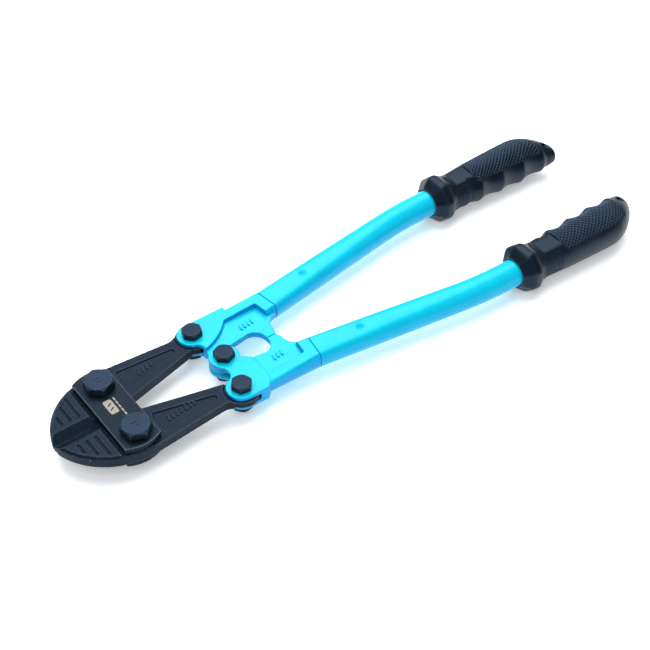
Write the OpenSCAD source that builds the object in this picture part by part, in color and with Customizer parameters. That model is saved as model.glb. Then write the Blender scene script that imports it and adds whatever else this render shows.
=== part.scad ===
// Bolt cutters, closed and lying flat. Millimetres, +Z up, real size.
// Origin: bottom centre of the whole tool. +X runs along the tool from the jaws
// to the grips, and +Y is the side of the left handle.
// Plan sizes below are measured from the centre bolt, on the tool's middle plane.

/* [Overall] */
// distance from the centre bolt to the far end of the grips
handle_reach = 333; // [290:1:400]
// distance from the middle line to the axis of each grip
grip_spread = 48; // [42:0.5:60]
// distance from the centre bolt forward to the jaw bolts
jaw_reach = 81.1; // [76:0.5:90]
// half the distance between the two jaw bolts
jaw_bolt_y = 23.3; // [22:0.1:25]

/* [Jaws] */
// radius of the round outline of the cutting head
head_r = 49.15; // [47:0.05:51]
// half the thickness of the cutting head
head_half = 5; // [4.6:0.1:6]
// half the thickness of the jaw arms
arm_half = 3.6; // [3.2:0.1:4.2]
// half the thickness of the jaw tails, between the ears of a handle head
tail_half = 2.4; // [2:0.1:3]
// radius of the round tail knuckle
tail_r = 12; // [11:0.1:12.5]
// half width of the bevel at the face of the cutting head
bevel_w = 7; // [5:0.1:8]
// half the width of the flat left at each cutting edge
edge_land = 0.55; // [0.3:0.05:1]
// gap from the middle line to each closed cutting edge
edge_gap = 0.15; // [0.1:0.05:0.3]
// width of the chamfer round the rim of the cutting head
rim_chamfer = 1.8; // [1:0.1:2.5]
// depth of the sunk panel in each face of an arm
panel_depth = 1.1; // [0.5:0.1:1.4]

/* [Straps and jaw bolts] */
// thickness of each strap plate
strap_t = 4.6; // [3.5:0.1:5.5]
// distance from the jaw bolts to the straight front edge of a strap
strap_front = 14.5; // [13:0.1:15]
// distance from the jaw bolts to the straight rear edge of a strap
strap_rear = 11.8; // [11:0.1:13]
// gap between a strap and the jaw arm it slides on
strap_gap = 0.1; // [0.05:0.01:0.2]
// radius of the plain shank of a jaw bolt
jaw_bolt_r = 6; // [5:0.1:6.5]
// width across the flats of a jaw bolt head
jaw_head_af = 18.5; // [16:0.5:20]
// height of a jaw bolt head
jaw_head_h = 5.9; // [5:0.1:7.5]

/* [Handle heads] */
// half the thickness of the forged ears
ear_half = 5.4; // [5:0.1:6.5]
// radius of the ears round the handle bolts
ear_r = 10.5; // [10:0.1:11]
// clearance on each side of a tail or tongue in its slot
slot_gap = 0.15; // [0.1:0.01:0.3]
// radius of the tongue disc round the centre bolt
tongue_r = 10; // [9.5:0.1:10.2]
// radius of the play hole in the tongue round the centre bolt
tongue_hole_r = 6.2; // [5:0.1:6.5]
// gap from the middle line to each closed stop pad
stop_gap = 0.15; // [0.1:0.05:0.3]

/* [Handle bolts] */
// radius of the plain shank of a handle bolt
bolt_r = 4; // [3.5:0.1:4.5]
// radial running clearance of every pivot
run_gap = 0.05; // [0.02:0.01:0.1]
// width across the flats of a handle bolt head and nut
bolt_af = 13; // [12:0.5:14]
// height of a handle bolt head
bolt_head_h = 4.9; // [4.5:0.1:5.5]
// height of a handle bolt nut
nut_h = 5.6; // [4:0.1:6.8]
// thickness of a spring washer
washer_t = 1.4; // [1:0.1:2]

/* [Tubes and grips] */
// angle at which the front part of each handle tube leans outward
lean = 8.5; // [7:0.1:10]
// outside radius of a handle tube where it meets its head
tube_r_front = 11; // [10.5:0.1:11.5]
// outside radius of a handle tube inside the grip
tube_r_rear = 10; // [9.5:0.1:10.3]
// half the height of a handle tube across the flats at its head
tube_flat = 7; // [6.8:0.1:8]
// wall thickness of a handle tube
tube_wall = 2; // [1.5:0.1:2.5]
// bend radius of the tube axis
bend_r = 300; // [200:5:400]
// length of one rubber grip
grip_len = 120; // [110:1:140]
// radius of the grip body at its fullest
grip_r = 16.6; // [16:0.1:17.5]
// radius of the grip neck behind the collar
neck_r = 14.6; // [14:0.1:15.5]
// radius across the corners of the flared collar
collar_r = 18.8; // [18:0.1:20]
// radius of the curve that thins the end above and below
thin_r = 74; // [68:1:90]
// radius of the hanging hole
hang_r = 3.2; // [2.5:0.1:3.5]

/* [Hidden] */
$fn = 64;
// the tool spans from the cutting tip to the grip ends
tip_x = jaw_reach + 46.6;
overall = tip_x + handle_reach;
centre_x = tip_x - overall / 2;
// the tool lies on the flat sides of its two grip collars
mid_z = collar_r * cos(22.5);
// pivots of the left side
jx = -jaw_reach;
jy = jaw_bolt_y;
ax = -6.1;
ay = 29.9;
slot_half = tail_half + slot_gap;
strap_z = arm_half + strap_gap;
strap_top = strap_z + strap_t;
// seam between a head and its tube, on the tube axis
seam_x = 53;
seam_y = 28.1;
// the tube bends until it runs along X at the grip
bend_y = grip_spread - bend_r * (1 - cos(lean));
straight_len = (bend_y - seam_y) / sin(lean);
bend_x = seam_x + straight_len * cos(lean);
bend_end_x = bend_x + bend_r * sin(lean);
grip_x = handle_reach - grip_len;
tube_end_x = handle_reach - 33;
spigot_len = 42;
crimp_at = 35;
// the flats above and below rise by this much until the bend, and run out
flat_rise = 4;
// half the height across the flats, at a distance behind the seam
function flat_at(d) = tube_flat + flat_rise * d / straight_len;
// the bend is this much fuller than the straight lengths on each side of it
bend_step = 0.03;
// outside radius of the straight front length, at a distance behind the seam
function tube_r_at(d) =
  tube_r_front + (tube_r_rear - bend_step - tube_r_front) * d / straight_len;
// room for the tongue disc in the fork, with the play that its hole allows
tongue_room = tongue_r + tongue_hole_r - bolt_r;
cut = 0.02;

// puts a piece drawn from the centre bolt into the tool's frame
module place() {
  translate([-centre_x_shift(), 0, mid_z])
    children();
}

function centre_x_shift() = overall / 2 - tip_x;

// the right side is the mirror image of the left side
module right() {
  mirror([0, 1, 0])
    children();
}

module both_faces() {
  children();
  mirror([0, 0, 1])
    children();
}

module plate(half) {
  translate([0, 0, -half])
    linear_extrude(height = 2 * half)
      children();
}

// hexagon with its corners turned to the wanted angle
module hex_prism(af, h, turn) {
  rotate([0, 0, turn])
    cylinder(r = af / 2 / cos(30), h = h, $fn = 6);
}

// hex head with a chamfered top rim, standing on z = 0
module hex_head(af, h, turn) {
  intersection() {
    hex_prism(af, h, turn);
    union() {
      cylinder(r = af, h = h - 1.2);
      translate([0, 0, h - 1.2])
        cylinder(r1 = af / 2 / cos(30) + 0.3, r2 = af / 2 - 0.5, h = 1.2);
    }
  }
}

// ---------- jaws ----------

// centre of the round outline of the cutting head
hx = jx + 1;
hy = jy - 33.45;
// slope of the outer edge of the arm, and where it leaves the round outline
arm_tilt = 4.6;
arm_x0 = hx + head_r * sin(arm_tilt);
arm_y0 = hy + head_r * cos(arm_tilt);
arm_x1 = -23.33;
arm_y1 = arm_y0 - (arm_x1 - arm_x0) * tan(arm_tilt);

module head_disc(half, rim) {
  translate([hx, hy, -half])
    union() {
      cylinder(r1 = head_r - rim, r2 = head_r, h = rim, $fn = 180);
      translate([0, 0, rim])
        cylinder(r = head_r, h = 2 * half - 2 * rim, $fn = 180);
      translate([0, 0, 2 * half - rim])
        cylinder(r1 = head_r, r2 = head_r - rim, h = rim, $fn = 180);
    }
}

module arm_shape() {
  polygon([[-91, edge_gap], [-14.5, 19], [-6.1, 22], [-6.1, 32],
    [arm_x1, arm_y1], [arm_x0, arm_y0], [arm_x0 - 12, arm_y0 - 4],
    [-96, 20], [-96, edge_gap]]);
  translate([ax, ay])
    circle(r = tail_r);
  difference() {
    polygon([[arm_x1, arm_y1], [-15.06, 37.88], [-9, 33], [-20, 28]]);
    translate([-22.53, 44.6])
      circle(r = 10);
  }
}

// tapered panel sunk into the face of the arm
module panel_shape() {
  polygon([[-65, 31.6], [-25.5, 28.4], [-25, 23.4], [-64, 13.6], [-66, 18]]);
  translate([-25.2, 25.9])
    circle(r = 2.5);
}

// short groove across the face of the cutting head
module bar(x, y0, y1) {
  translate([x, y0, head_half - 0.8])
    linear_extrude(height = 2) {
      circle(r = 1, $fn = 24);
      translate([-1, 0])
        square([2, y1 - y0]);
      translate([0, y1 - y0])
        circle(r = 1, $fn = 24);
    }
}

module jaw() {
  difference() {
    union() {
      intersection() {
        head_disc(head_half, rim_chamfer);
        translate([-140, edge_gap, -10])
          cube([42, 60, 20]);
      }
      intersection() {
        head_disc(arm_half, 0.8);
        translate([-98.5, edge_gap, -10])
          cube([arm_x0 + 98.5, 60, 20]);
      }
      plate(arm_half)
        arm_shape();
    }
    // the inner edge runs away from the cutting edge behind the head
    translate([0, 0, -10])
      linear_extrude(height = 20)
        polygon([[-91, edge_gap], [-14.5, 19], [-14.5, -20], [-91, -20]]);
    // bevels that leave the cutting edge on the middle plane
    both_faces()
      rotate([90, 0, 90])
        translate([0, 0, -140])
          linear_extrude(height = 140)
            polygon([[edge_gap - cut, edge_land],
              [bevel_w, head_half + cut], [edge_gap - cut, head_half + 1]]);
    // thin tail between the ears
    both_faces()
      translate([ax, ay, tail_half])
        cylinder(r = tail_r + 0.3, h = 5);
    both_faces()
      translate([0, 0, arm_half - panel_depth])
        linear_extrude(height = 3)
          panel_shape();
    both_faces() {
      bar(-103.6, 11, 28.5);
      bar(-109.8, 11, 23.8);
      bar(-115.8, 11, 17.6);
    }
    translate([jx, jy, -10])
      cylinder(r = jaw_bolt_r + run_gap, h = 20);
    translate([ax, ay, -10])
      cylinder(r = bolt_r + run_gap, h = 20);
  }
}

module jaw_left() color("dimgray") place() jaw();
module jaw_right() color("dimgray") place() right() jaw();

// ---------- straps and jaw bolts ----------

module strap_shape() {
  intersection() {
    translate([jx - strap_front, -60])
      square([strap_front + strap_rear, 120]);
    union() {
      for (s = [-1, 1])
        translate([jx - 1.4, s * (jy - 11.2)])
          circle(r = 25.2, $fn = 96);
      translate([jx - 30, 11.2 - jy])
        square([60, 2 * (jy - 11.2)]);
    }
  }
}

module strap(hole_r) {
  difference() {
    linear_extrude(height = strap_t)
      strap_shape();
    for (s = [-1, 1])
      translate([jx, s * jy, -1])
        cylinder(r = hole_r, h = strap_t + 2);
  }
}

module top_strap() color("dimgray") place()
  translate([0, 0, strap_z])
    strap(jaw_bolt_r + run_gap);

module bottom_strap() color("dimgray") place()
  mirror([0, 0, 1])
    translate([0, 0, strap_z])
      strap(jaw_bolt_r + run_gap);

module jaw_bolt() {
  translate([jx, jy, 0]) {
    translate([0, 0, strap_top + cut])
      hex_head(jaw_head_af, jaw_head_h, 20);
    translate([0, 0, -strap_top + 0.8])
      cylinder(r = jaw_bolt_r, h = 2 * strap_top - 0.7);
    translate([0, 0, -strap_top])
      cylinder(r1 = jaw_bolt_r - 0.8, r2 = jaw_bolt_r, h = 0.8);
  }
}

module jaw_bolt_left() color("dimgray") place() jaw_bolt();
module jaw_bolt_right() color("dimgray") place() right() jaw_bolt();

// ---------- handle heads ----------

// flat web that carries the tongue and the stop pad
module web_shape() {
  difference() {
    polygon([[9.5, 8.4], [25.4, 10.5], [25.4, stop_gap + 0.2], [36.2, stop_gap],
      [41.4, stop_gap], [43.4, 5], [48, 12], [53, 17.3], [seam_x, seam_y],
      [seam_x - (38 - seam_y) * tan(lean), 38], [24, 38], [8, 30], [-2, 16],
      [-6, 12.1], [-8, 6], [0, 0]]);
    // finger of air between the centre bolt and the stop pads
    translate([25.4, 1.5])
      circle(r = 9);
    polygon([[9, -1], [9.5, 8.4], [25.4, 10.5], [25.4, -1]]);
    // hollow behind the stop pad
    translate([53.4, 6.1])
      circle(r = 10);
  }
}

// raised ear plate of the left head
module left_ear_shape() {
  intersection() {
    union() {
      translate([ax, ay])
        circle(r = ear_r);
      polygon([[-14.6, 23.7], [-8, 19.4], [-6.2, 16.5], [-5.6, 12.4], [2, 12],
        [30, 20], [30, ay + ear_r - 2.5], [23.5, ay + ear_r], [ax, ay + ear_r]]);
    }
    translate([-18.7, 60.3])
      circle(r = 49, $fn = 180);
  }
}

// fork plate of the right head, drawn on the left side before mirroring
module fork_shape() {
  difference() {
    union() {
      circle(r = tongue_r + 0.7);
      translate([ax, ay])
        circle(r = ear_r);
      polygon([[4, 3], [8.5, 5.4], [12.6, 8.9], [15.1, 11], [15.1, 28.5],
        [11.5, 37.5], [8.5, ay + ear_r], [ax, ay + ear_r], [-10, 26], [-8, 4]]);
    }
    translate([-12.3, 13.5])
      circle(r = 7);
  }
}

// body behind the ears, growing into the round shank at the tube
module shank() {
  difference() {
    hull() {
      for (y = [15.2, ay + ear_r - 4.8], z = [-1, 1])
        translate([11.5, y, z * (ear_half - 2.7)])
          rotate([0, 90, 0])
            cylinder(r = 2.2, h = 1, $fn = 24);
      translate([seam_x, seam_y, 0])
        rotate([0, 90, lean])
          intersection() {
            translate([0, 0, -2])
              cylinder(r = tube_r_front - 0.05, h = 2, $fn = 48);
            cube([2 * tube_flat - 0.1, 40, 10], center = true);
          }
    }
    // recessed panel, open towards the inner edge
    both_faces()
      translate([0, 0, tail_half])
        linear_extrude(height = 20)
          polygon([[10, 28.9], [44.4, 28.9], [47, 12], [47, -5], [10, -5]]);
    // the inner edge follows the hole and the hollow behind the pad
    translate([0, 0, -20])
      linear_extrude(height = 40) {
        translate([25.4, 1.5])
          circle(r = 9);
        translate([53.4, 4.6])
          circle(r = 10);
      }
  }
}

module spigot() {
  translate([seam_x, seam_y, 0])
    rotate([0, 90, lean])
      intersection() {
        translate([0, 0, -1])
          cylinder(r1 = tube_r_front - tube_wall - 0.1,
            r2 = tube_r_at(spigot_len) - tube_wall - 0.2, h = spigot_len + 1);
        cube([2 * (tube_flat - tube_wall - 0.1), 40, 3 * spigot_len], center = true);
      }
}

// hollow where the tube is crimped into the spigot
module crimp(r, depth) {
  translate([seam_x, seam_y, 0])
    rotate([0, 0, lean])
      both_faces()
        translate([crimp_at, 0, r])
          translate([0, 0, 5 - depth])
            sphere(r = 5, $fn = 40);
}

// space for the jaw tail between the ears
module tail_slot_shape() {
  translate([ax, ay])
    circle(r = tail_r + 1.3);
  translate([ax - 20, ay - 19])
    square([20, 40]);
}

// space for the tongue between the fork plates
module tongue_slot_shape() {
  circle(r = tongue_room);
  translate([-20, 0])
    square([18, 20]);
}

module left_head() {
  difference() {
    union() {
      shank();
      spigot();
      plate(tail_half)
        web_shape();
      plate(tail_half)
        circle(r = tongue_r);
      plate(ear_half)
        left_ear_shape();
    }
    plate(slot_half)
      tail_slot_shape();
    translate([ax, ay, -10])
      cylinder(r = bolt_r + run_gap, h = 20);
    translate([0, 0, -10])
      cylinder(r = tongue_hole_r, h = 20);
    crimp(tube_flat - tube_wall - 0.1, 1.4);
  }
}

module fork_head() {
  difference() {
    union() {
      shank();
      spigot();
      plate(tail_half)
        web_shape();
      plate(ear_half)
        fork_shape();
    }
    plate(slot_half) {
      tail_slot_shape();
      tongue_slot_shape();
    }
    translate([ax, ay, -10])
      cylinder(r = bolt_r + run_gap, h = 20);
    translate([0, 0, -10])
      cylinder(r = bolt_r + run_gap, h = 20);
    crimp(tube_flat - tube_wall - 0.1, 1.4);
  }
}

module head_left() color("deepskyblue") place() left_head();
module head_right() color("deepskyblue") place() right() fork_head();

// ---------- handle bolts, washers and nuts ----------

stack_top = ear_half;
stack_low = -ear_half - washer_t;
bolt_end = stack_low - nut_h - 0.8;

module handle_bolt(turn) {
  translate([0, 0, stack_top + cut])
    hex_head(bolt_af, bolt_head_h, turn);
  translate([0, 0, bolt_end + 0.6])
    cylinder(r = bolt_r, h = stack_top - bolt_end - 0.5);
  translate([0, 0, bolt_end])
    cylinder(r1 = bolt_r - 0.6, r2 = bolt_r, h = 0.6);
}

module nut(turn) {
  translate([0, 0, stack_low - nut_h - cut])
    difference() {
      intersection() {
        hex_prism(bolt_af, nut_h, turn);
        union() {
          cylinder(r1 = bolt_af / 2 - 0.3, r2 = bolt_af / 2 + 1.4, h = 1);
          translate([0, 0, 1])
            cylinder(r = bolt_af, h = nut_h - 1);
        }
      }
      translate([0, 0, -1])
        cylinder(r = bolt_r + 0.04, h = nut_h + 2);
    }
}

// split ring under each nut
module spring_washer() {
  translate([0, 0, stack_low])
    difference() {
      cylinder(r = bolt_r + 2.6, h = washer_t - cut);
      translate([0, 0, -1])
        cylinder(r = bolt_r + 0.2, h = washer_t + 2);
      rotate([0, 0, 25])
        translate([0, -0.5, -1])
          cube([10, 1, washer_t + 2]);
    }
}

module at_left() translate([ax, ay, 0]) children();
module at_right() translate([ax, -ay, 0]) children();

module handle_bolt_left() color("gray") place() at_left() handle_bolt(12);
module handle_bolt_right() color("gray") place() at_right() handle_bolt(-8);
module centre_bolt() color("gray") place() handle_bolt(20);
module handle_nut_left() color("gray") place() at_left() nut(40);
module handle_nut_right() color("gray") place() at_right() nut(10);
module centre_nut() color("gray") place() nut(25);
module spring_washer_left() color("gray") place() at_left() spring_washer();
module spring_washer_right() color("gray") place() at_right() spring_washer();
module centre_washer() color("gray") place() spring_washer();

// ---------- tubes ----------

module tube_solid(less, extra) {
  translate([seam_x, seam_y, 0])
    rotate([0, 90, lean])
      intersection() {
        translate([0, 0, 0.15 - extra])
          cylinder(r1 = tube_r_front - less, r2 = tube_r_rear - less - bend_step,
            h = straight_len - 0.15 + extra + cut);
        // flats above and below, deepest at the head
        rotate([90, 0, 0])
          translate([0, 0, -20])
            linear_extrude(height = 40)
              polygon([[-flat_at(-5) + less, -5], [flat_at(-5) - less, -5],
                [flat_at(straight_len + 5) - less, straight_len + 5],
                [less - flat_at(straight_len + 5), straight_len + 5]]);
      }
  translate([bend_end_x, grip_spread - bend_r, 0])
    rotate([0, 0, 90])
      rotate_extrude(angle = lean, $fn = 180)
        translate([bend_r, 0])
          circle(r = tube_r_rear - less);
  translate([bend_end_x - cut, grip_spread, 0])
    rotate([0, 90, 0])
      cylinder(r = tube_r_rear - less - bend_step,
        h = tube_end_x - bend_end_x + extra + cut);
}

module tube() {
  difference() {
    tube_solid(0, 0);
    tube_solid(tube_wall, 1);
    crimp(flat_at(crimp_at), 1.2);
  }
}

module tube_left() color("deepskyblue") place() tube();
module tube_right() color("deepskyblue") place() right() tube();

// push-in plug that closes the tube end under the grip
module tube_plug() {
  translate([tube_end_x, grip_spread, 0])
    rotate([0, 90, 0]) {
      translate([0, 0, -12])
        cylinder(r = tube_r_rear - tube_wall - 0.05, h = 12.1);
      translate([0, 0, 0.05])
        cylinder(r = tube_r_rear - 0.5, h = 2);
    }
}

module tube_plug_left() color("black") place() tube_plug();
module tube_plug_right() color("black") place() right() tube_plug();

// ---------- grips ----------

module along_grip(x) {
  translate([grip_x + x, grip_spread, 0])
    rotate([0, 90, 0])
      children();
}

// flared collar with eight flat sides
module collar() {
  flat = 22.5;
  along_grip(0)
    rotate([0, 0, flat]) {
      cylinder(r1 = tube_r_rear + 2.4, r2 = collar_r - 0.5, h = 7.5, $fn = 8);
      translate([0, 0, 7.5])
        cylinder(r1 = collar_r - 0.5, r2 = collar_r, h = 1.5, $fn = 8);
      translate([0, 0, 9])
        cylinder(r = collar_r, h = 4.5, $fn = 8);
      translate([0, 0, 13.5])
        cylinder(r1 = collar_r, r2 = neck_r + 0.9, h = 7, $fn = 8);
    }
}

// round body: neck, swelling middle, full end
module grip_round() {
  along_grip(0)
    rotate_extrude($fn = 96)
      polygon([[0, 8.3], [neck_r, 8.3], [neck_r, 31], [grip_r, 80],
        [grip_r, grip_len + 1], [0, grip_len + 1]]);
}

// plan shape of the end, slanting in from the outer side to the inner side
module grip_plan() {
  difference() {
    translate([handle_reach - 140, grip_spread - 30])
      square([140, 60]);
    difference() {
      translate([handle_reach - 39.9, grip_spread - 27])
        square([60, 80]);
      translate([handle_reach - 39.9, grip_spread - 27])
        circle(r = 44.6, $fn = 180);
    }
    difference() {
      translate([handle_reach - 8, grip_spread - 40])
        square([20, 31]);
      translate([handle_reach - 8, grip_spread - 9])
        circle(r = 8);
    }
  }
}

// side shape: the end thins out above and below
module grip_side() {
  top = grip_r + 0.35;
  difference() {
    translate([handle_reach - 140, -30])
      square([141, 60]);
    for (s = [-1, 1])
      difference() {
        translate([handle_reach - 42, s > 0 ? 1 : -41])
          square([60, 40]);
        translate([handle_reach - 42, s * (top - thin_r)])
          circle(r = thin_r, $fn = 180);
      }
  }
}

module grip_body() {
  intersection() {
    grip_round();
    translate([0, 0, -30])
      linear_extrude(height = 60)
        grip_plan();
    translate([0, grip_spread + 40, 0])
      rotate([90, 0, 0])
        linear_extrude(height = 80)
          grip_side();
  }
}

// shallow hollows for the fingers along the inner side
module finger_hollows() {
  for (i = [0:2])
    translate([handle_reach - 70 + 20.3 * i, grip_spread - grip_r - 28.4, -30])
      cylinder(r = 30, h = 60, $fn = 120);
  translate([handle_reach - 91, grip_spread - grip_r - 17.4, -30])
    cylinder(r = 20, h = 60, $fn = 96);
}

module grip() {
  difference() {
    union() {
      collar();
      grip_body();
    }
    finger_hollows();
    along_grip(-1)
      cylinder(r = tube_r_rear + 0.03, h = grip_len - 33 + 3.2 + 1);
    translate([handle_reach - 8.4, grip_spread - 7, -20])
      cylinder(r = hang_r, h = 40);
  }
}

module grip_left() color("black") place() grip();
module grip_right() color("black") place() right() grip();

jaw_left();
jaw_right();
top_strap();
bottom_strap();
jaw_bolt_left();
jaw_bolt_right();
head_left();
head_right();
tube_left();
tube_right();
grip_left();
grip_right();
tube_plug_left();
tube_plug_right();
handle_bolt_left();
handle_bolt_right();
centre_bolt();
handle_nut_left();
handle_nut_right();
centre_nut();
spring_washer_left();
spring_washer_right();
centre_washer();
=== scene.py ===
"""Visual model of a pair of bolt cutters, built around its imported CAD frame.

The forged and turned pieces are the CAD's own solids with a rounded finish. The
handle tubes, rubber grips, cutting edges and small marks are surfaces worked out here.
Lengths in the formulas are millimetres; one scale turns them to metres.
"""

import math

import bpy
import numpy as np
from bpy.props import FloatProperty, FloatVectorProperty, PointerProperty
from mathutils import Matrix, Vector


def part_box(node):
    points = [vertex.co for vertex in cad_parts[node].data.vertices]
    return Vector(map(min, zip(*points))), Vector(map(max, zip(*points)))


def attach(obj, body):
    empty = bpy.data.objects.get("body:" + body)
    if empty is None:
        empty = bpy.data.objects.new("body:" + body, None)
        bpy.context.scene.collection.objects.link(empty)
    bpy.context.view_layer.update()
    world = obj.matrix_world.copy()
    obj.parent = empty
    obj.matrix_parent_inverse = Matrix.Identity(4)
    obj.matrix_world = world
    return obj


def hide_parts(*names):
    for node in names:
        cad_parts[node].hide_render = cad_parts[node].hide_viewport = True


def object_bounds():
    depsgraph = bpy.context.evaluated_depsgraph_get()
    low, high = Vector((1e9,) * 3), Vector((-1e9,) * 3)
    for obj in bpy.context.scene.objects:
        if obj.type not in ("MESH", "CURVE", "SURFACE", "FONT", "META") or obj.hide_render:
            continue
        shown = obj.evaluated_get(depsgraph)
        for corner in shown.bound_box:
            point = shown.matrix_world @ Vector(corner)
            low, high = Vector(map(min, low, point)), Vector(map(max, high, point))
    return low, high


bl_info = {
    "name": "Bolt Cutters",
    "version": (1, 0, 0),
    "blender": (4, 5, 0),
    "location": "3D View > Sidebar > Bolt Cutters",
    "description": "Finishes a pair of bolt cutters around its CAD frame",
    "category": "Add Mesh",
}

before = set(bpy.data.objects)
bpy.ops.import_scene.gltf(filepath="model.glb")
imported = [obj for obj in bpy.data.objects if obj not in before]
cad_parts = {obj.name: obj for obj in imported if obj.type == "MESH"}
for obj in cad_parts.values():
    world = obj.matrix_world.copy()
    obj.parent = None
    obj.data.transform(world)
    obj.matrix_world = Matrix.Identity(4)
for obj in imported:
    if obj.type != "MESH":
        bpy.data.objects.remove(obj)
CAD_BOX = [list(corner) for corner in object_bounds()]
MM = 0.001


def linear(code):
    """Linear RGBA of an sRGB hex colour: c / 12.92 below 0.04045, else ((c + 0.055) / 1.055) ** 2.4."""
    c = np.array([int(code[i : i + 2], 16) for i in (1, 3, 5)]) / 255
    c = np.where(c <= 0.04045, c / 12.92, ((c + 0.055) / 1.055) ** 2.4)
    return (*(float(v) for v in c), 1.0)


def middle(node):
    """Middle of a CAD node's box, in mm."""
    low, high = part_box(node)
    return (np.array(low) + np.array(high)) / 2 / MM


# the centre bolt's axis on the tool's middle plane, where the sizes below start
CENTRE = np.array([middle("centre_bolt")[0], 0.0, middle("jaw_left")[2]])
GRIP_BOX = [np.array(c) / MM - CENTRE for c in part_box("grip_left")]
STRAP_BOX = [np.array(c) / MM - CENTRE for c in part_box("top_strap")]
JAW_BOLT = middle("jaw_bolt_left") - CENTRE
JAW_BOLT_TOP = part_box("jaw_bolt_left")[1][2] / MM - CENTRE[2]
TOOL_FRONT = CAD_BOX[0][0] / MM - CENTRE[0]


# ---------- settings ----------


def millimetres(name, text, default):
    """A setting for a length in mm."""
    return FloatProperty(name=name, description=f"{text}, in mm", default=default)


def degrees(name, text, default):
    """A setting for an angle, with its default in degrees."""
    return FloatProperty(name=name, description=text, default=math.radians(default), subtype="ANGLE")


def colour(name, pieces, code):
    """A setting for a colour, with its default as an sRGB hex value."""
    text = f"Colour of {pieces}"
    return FloatVectorProperty(name=name, description=text, subtype="COLOR", size=4, default=linear(code))


class BoltCutterSizes(bpy.types.PropertyGroup):
    edge_gap: millimetres("Edge Gap", "Gap from the middle line to a closed cutting edge", 0.15)
    edge_land: millimetres("Edge Land", "Half the thickness of a cutting edge", 0.55)
    bevel_width: millimetres("Bevel Width", "Half width of the bevel at the jaw's face", 7.0)
    jaw_half: millimetres("Jaw Half", "Half the thickness of a jaw's head", 5.0)
    grip_spread: millimetres("Grip Spread", "Distance from the middle line to a grip's axis", 48.0)
    lean: degrees("Tube Lean", "Angle at which the front of a handle tube leans outward", 8.5)
    bend_radius: millimetres("Bend Radius", "Bend radius of a tube's axis", 300.0)
    tube_front: millimetres("Tube Front", "Outside radius of a tube at its head", 11.0)
    tube_rear: millimetres("Tube Rear", "Outside radius of a tube in its grip", 10.0)
    tube_flat: millimetres("Tube Flat", "Half the height of a tube across its flats at the head", 7.0)
    flat_rise: millimetres("Flat Rise", "Rise of the flats until the bend", 4.0)
    tube_wall: millimetres("Tube Wall", "Wall thickness of a tube", 2.0)
    dimple_depth: millimetres("Dimple Depth", "Depth of the crimp dimple in a tube", 1.8)
    collar_radius: millimetres("Collar Radius", "Radius across a grip collar's corners", 18.8)
    neck_radius: millimetres("Neck Radius", "Radius of a grip behind its collar", 14.5)
    grip_radius: millimetres("Grip Radius", "Radius of a grip at its fullest", 16.6)
    hatch_depth: millimetres("Hatch Depth", "Depth of the diamond hatching on a grip", 1.1)
    rib_depth: millimetres("Rib Depth", "Depth of the fine ribs beside a grip's neck", 0.55)
    finger_depth: millimetres("Finger Depth", "Depth of the finger hollows in a grip", 1.9)
    hang_radius: millimetres("Hanging Hole", "Radius of the hole at the end of a grip", 3.2)
    forged_edge: FloatProperty(
        name="Forged Edge", description="Size of the rounding on forged edges", default=0.0004, unit="LENGTH"
    )
    turned_edge: FloatProperty(
        name="Turned Edge",
        description="Size of the rounding on bolts and nuts",
        default=0.00028,
        unit="LENGTH",
    )


class BoltCutterColours(bpy.types.PropertyGroup):
    paint: colour("Powder Coat", "the heads and tubes", "#0CC4DE")
    jaw: colour("Jaw Steel", "the blackened jaws", "#0E1620")
    strap: colour("Strap Steel", "the blackened straps", "#060B10")
    jaw_bolt: colour("Jaw Bolts", "the jaw bolts", "#1A2A38")
    bolt: colour("Handle Bolts", "the handle bolts", "#1A2636")
    rubber: colour("Rubber", "the grips", "#060B12")
    print_ink: colour("Print", "the printed patch", "#8C8678")
    floor: colour("Floor", "the floor", "#FBFCFC")


class BoltCutterStage(bpy.types.PropertyGroup):
    azimuth: degrees("Azimuth", "Turn of the camera round the tool", -36.37)
    elevation: degrees("Elevation", "Height angle of the camera", 44.41)
    distance: FloatProperty(
        name="Distance", description="Distance of the camera", default=0.96655, unit="LENGTH"
    )
    aim: FloatVectorProperty(
        name="Aim",
        description="Point that the camera looks at",
        default=tuple((CENTRE + (75.76, -9.87, -2.0)) * MM),
        subtype="XYZ",
    )
    lens: millimetres("Lens", "Focal length of the camera", 78.19)
    room_light: FloatProperty(name="Room Light", description="Strength of the white room", default=0.38)
    key_light: FloatProperty(
        name="Key Light", description="Power of the large overhead light", default=42.0, unit="POWER"
    )
    side_light: FloatProperty(
        name="Side Light", description="Power of the soft side light", default=7.0, unit="POWER"
    )


def sizes():
    """The sizes as the panel has them."""
    return bpy.context.scene.bolt_cutter_sizes


def colours():
    """The colours as the panel has them."""
    return bpy.context.scene.bolt_cutter_colours


# ---------- materials ----------


def add(tree, kind, inputs=None, stops=(), **settings):
    """Adds a node with its settings. Each input is a value or a socket to link from, and stops are the
    (position, colour) pairs of a colour ramp."""
    made = tree.nodes.new(kind)
    for name, value in settings.items():
        setattr(made, name, value)
    for key, value in (inputs or {}).items():
        if isinstance(value, bpy.types.NodeSocket):
            tree.links.new(value, made.inputs[key])
        else:
            made.inputs[key].default_value = value
    if stops:
        bar = made.color_ramp
        while len(bar.elements) < len(stops):
            bar.elements.new(0.5)
        for element, (place, tone) in zip(bar.elements, stops):
            element.position, element.color = place, tone
    return made


def blank(name):
    """A new material's node tree, emptied, with its Object coordinates."""
    mat = bpy.data.materials.new(name)
    mat.use_nodes = True
    tree = mat.node_tree
    tree.nodes.clear()
    where = add(tree, "ShaderNodeTexCoord").outputs["Object"]
    return mat, tree, where


def spots(size):
    """Scale of a noise whose spots are about this many mm across: 0.9 over the size in metres."""
    return 0.9 / (size * MM)


def grey(v):
    """The grey of this linear value."""
    return (v, v, v, 1.0)


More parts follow.
